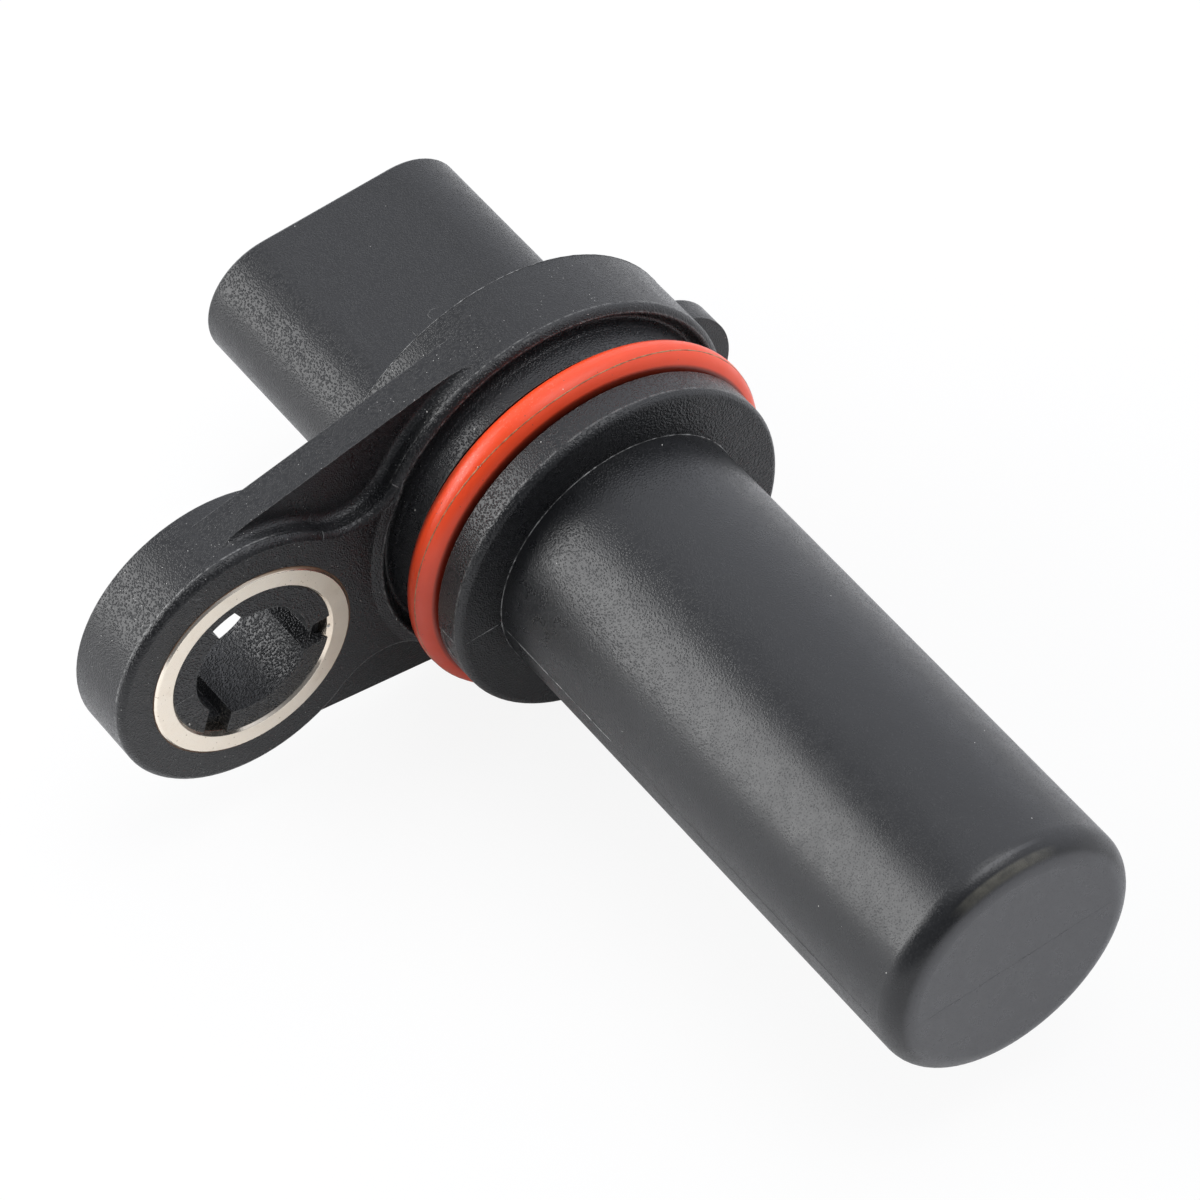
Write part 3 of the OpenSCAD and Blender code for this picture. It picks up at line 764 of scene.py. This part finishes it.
def collar_marks(pale):
    """Parting lines on the collar's wall and front, and the curl of flash."""
    bm = bmesh.new()
    lines_along(bm, COLLAR_LINE_TURNS, COLLAR_R, COLLAR_REAR, COLLAR_FRONT - COLLAR_ROUND,
                half=0.03, height=0.025, rough=0.5, steps=30)
    front = AXIS * COLLAR_FRONT
    way = out(EAR_SIDE)
    bead(bm, line_path(front + way * (PROBE_R + 0.15), front + way * (COLLAR_R - COLLAR_ROUND), AXIS,
                       half=0.025, height=0.02, rough=0.7, steps=40))
    piece("collar_parting_line", bm, pale)

    bm = bmesh.new()
    thread(bm, CURL, 0.03)
    piece("collar_flash_curl", bm, pale)


def disc_marks(pale):
    """Flash along the disc's rear edge, with a burr and a fibre on it."""
    bm = bmesh.new()
    first, last = DISC_FLASH
    ring = ring_path(FLANGE_REAR + 0.02, DISC_R, 0.022, 0.022, rough=0.8, tilt=-45.0)
    bead(bm, [p for p in ring if first < math.degrees(math.atan2(p[0].z, p[0].y)) < last])
    for turn, half, points in EDGE_THREADS:
        edge = AXIS * FLANGE_REAR + out(turn) * DISC_R
        thread(bm, [edge + Vector(p) for p in points], half)
    piece("disc_rear_flash", bm, pale)


def ear_marks(pale):
    """The retainer's weld line, and the scratch on the ear."""
    bm = bmesh.new()
    centre = Vector((0, BOLT_Y, 0))
    way = out(EAR_SIDE)
    bead(bm, line_path(centre + way * (BOLT_BORE_R + 0.05), centre + way * (RETAINER_R - 0.05), AXIS,
                       half=0.02, height=0.015, rough=0.5, steps=30))
    piece("retainer_weld_line", bm, pale)

    bm = bmesh.new()
    thread(bm, SCRATCH, 0.016)
    piece("ear_scratch", bm, pale)


def mould_marks():
    pale = thin_flash("flash_pale", (0.035, 0.035, 0.035), (0.42, 0.42, 0.41))
    dull = thin_flash("flash_dull", (0.022, 0.022, 0.023), (0.085, 0.085, 0.085))
    rubbed = thin_flash("flash_rubbed", (0.070, 0.071, 0.075), (0.105, 0.105, 0.108))
    probe_marks(pale, dull, rubbed)
    collar_marks(pale)
    disc_marks(pale)
    ear_marks(pale)


# The seal's line leans from the ring's outermost circle towards the collar, most near one angle
SEAL_LINE_STEPS = 480
SEAL_LEAN = 15
SEAL_TWIST = 21
SEAL_TWIST_TURN = 95
SEAL_TWIST_SPREAD = 45
SEAL_LINE_SINK = 0.008


def seal_line():
    """The ring sits a little twisted, so its parting line wanders from the crest towards the collar."""
    dark = thin_flash("silicone_parting", (0.24, 0.07, 0.026), (0.46, 0.26, 0.12))
    bm = bmesh.new()
    path = []
    for k in range(SEAL_LINE_STEPS):
        turn = 360.0 * k / SEAL_LINE_STEPS
        twist = SEAL_TWIST * math.exp(-((turn - SEAL_TWIST_TURN) / SEAL_TWIST_SPREAD) ** 2)
        way = out(turn)
        normal, side = leaning(way, SEAL_LEAN + twist)
        point = AXIS * SEAL_X + way * SEAL_RING_R + normal * (SEAL_TUBE_R - SEAL_LINE_SINK)
        slow = wobble(point, 1.1)
        fast = wobble(point + AXIS * 5, 3.7)
        grow = 0.45 + 1.1 * slow * fast
        path.append((point, normal, side, 0.055 * grow, 0.03 * grow))
    bead(bm, path, closed=True)
    piece("seal_parting_line", bm, dark)


def bush_line():
    """Brown residue in the gap round the bush."""
    rust = plain_grain("bush_gap_residue", (0.055, 0.030, 0.016), (0.20, 0.10, 0.045), (0.5, 0.75))
    bm = bmesh.new()
    bead(bm, ring_path(0.0, BUSH_R + 0.02, 0.045, 0.03, rough=0.7, tilt=90.0, y_centre=BOLT_Y), closed=True)
    piece("bush_gap_line", bm, rust)


# Motes that the light catches: place in millimetres and radius
MOTES = (
    ((0.01, -27.72, -2.40), 0.05), ((-1.19, -7.51, 11.17), 0.045), ((-0.44, 8.34, 8.55), 0.03),
    ((7.98, 3.39, 8.34), 0.03), ((5.54, -3.66, 11.63), 0.03), ((0.83, -10.40, 5.88), 0.03),
    ((4.04, -7.39, 10.69), 0.035), ((4.10, -7.25, 10.74), 0.025), ((-0.02, -17.15, -1.05), 0.08),
)
MOTE_STRETCH = 0.9


def motes():
    """Dust grains: small lumps of no regular shape."""
    chance = random.Random(SEED)
    white = plain_grain("dust_grain", (0.62, 0.60, 0.56), (0.80, 0.78, 0.73), (0.7, 0.9), scale=9.0)
    bm = bmesh.new()
    for place, radius in MOTES:
        lump = bmesh.ops.create_icosphere(bm, subdivisions=2, radius=radius * MM)["verts"]
        long = Vector((chance.uniform(-1, 1), chance.uniform(-1, 1), chance.uniform(-1, 1))).normalized()
        for vert in lump:
            grow = 0.7 + 0.6 * wobble(vert.co / MM + Vector(place), 9.0)
            vert.co = vert.co * grow + long * (vert.co.dot(long) * MOTE_STRETCH)
            vert.co += Vector(place) * MM
    piece("dust_motes", bm, white)


recess_slope()
mould_marks()
seal_line()
bush_line()
motes()


# Floor and light

# The floor's size and its gap under the object, in metres
FLOOR_SIZE = 3.0
FLOOR_DROP = 0.00002
FLOOR_CORNERS = ((-1, -1), (1, -1), (1, 1), (-1, 1))
FLOOR_COLOUR = (0.88, 0.88, 0.88)
FLOOR_ROUGHNESS = 0.9
FLOOR_SHINE = 0.1
# Share of the floor's brightness that is plain white, for each kind of ray
FLOOR_GLOW = (("Is Camera Ray", 0.9), ("Is Transmission Ray", 0.9), ("Is Glossy Ray", 0.12))


def floor_white():
    """Matt white, with a glow that leaves a faint shadow in view."""
    s = Shader("floor_white")
    rays = s.node("ShaderNodeLightPath").outputs
    seen = 0.0
    for kind, share in FLOOR_GLOW:
        seen = s.math("MAXIMUM", seen, s.times(rays[kind], share))
    glow = s.node("ShaderNodeEmission")
    glow.inputs["Strength"].default_value = 1.0
    blend = s.node("ShaderNodeMixShader")
    for value, socket in zip((seen, s.bsdf.outputs[0], glow.outputs[0]), blend.inputs):
        s.link(value, socket)
    s.link(blend.outputs[0], s.tree.nodes["Material Output"].inputs["Surface"])
    s.put(FLOOR_SHINE, s.bsdf.inputs["Specular IOR Level"])
    return s.finish(base_color=FLOOR_COLOUR, roughness=FLOOR_ROUGHNESS)


def make_floor():
    level = CAD_BOX[0].z - FLOOR_DROP
    half = FLOOR_SIZE / 2
    bm = bmesh.new()
    bm.faces.new([bm.verts.new((half * x, half * y, level)) for x, y in FLOOR_CORNERS])
    mesh = bpy.data.meshes.new("floor")
    bm.to_mesh(mesh)
    bm.free()
    floor = bpy.data.objects.new("floor", mesh)
    bpy.context.scene.collection.objects.link(floor)
    mesh.materials.append(floor_white())


def soft_light(name, toward, distance, size, radiance):
    """Square soft box that shows at that radiance in a mirror."""
    data = bpy.data.lights.new(name, "AREA")
    data.shape = "SQUARE"
    data.size = size
    data.energy = radiance * math.pi * size * size
    lamp = bpy.data.objects.new(name, data)
    centre = (CAD_BOX[0] + CAD_BOX[1]) / 2
    way = Vector(toward).normalized()
    lamp.location = centre + way * distance
    lamp.rotation_mode = "QUATERNION"
    lamp.rotation_quaternion = way.to_track_quat("Z", "Y")
    bpy.context.scene.collection.objects.link(lamp)


# The room is brightest above and behind the object, and dimmer towards the viewer
SKY_BRIGHT_WAY = (-0.35, 0.85, 0.40)
SKY_RANGE = (-0.30, 0.95, 0.16, 1.25)
SKY_COLOUR = (0.97, 0.99, 1.06, 1)
# Name, direction from the object, distance and size in metres, and radiance
SOFT_BOXES = (
    ("key_soft_box", (-0.58, -0.70, 0.42), 0.45, 0.36, 4.8),
    ("top_soft_box", (0.10, 0.22, 0.97), 0.60, 0.40, 2.0),
)


def make_light():
    world = bpy.data.worlds.new("studio")
    bpy.context.scene.world = world
    world.use_nodes = True
    tree = world.node_tree
    sky = tree.nodes["Background"]
    sky.inputs["Color"].default_value = SKY_COLOUR
    coords = tree.nodes.new("ShaderNodeTexCoord")
    along = tree.nodes.new("ShaderNodeVectorMath")
    along.operation = "DOT_PRODUCT"
    along.inputs[1].default_value = Vector(SKY_BRIGHT_WAY).normalized()
    tree.links.new(coords.outputs["Generated"], along.inputs[0])
    level = tree.nodes.new("ShaderNodeMapRange")
    level.interpolation_type = "SMOOTHSTEP"
    for key, number in zip(RANGE_SOCKETS, SKY_RANGE):
        level.inputs[key].default_value = number
    tree.links.new(along.outputs["Value"], level.inputs["Value"])
    tree.links.new(level.outputs["Result"], sky.inputs["Strength"])
    for box in SOFT_BOXES:
        soft_light(*box)


make_floor()
make_light()
bpy.context.scene.view_settings.view_transform = "Standard"
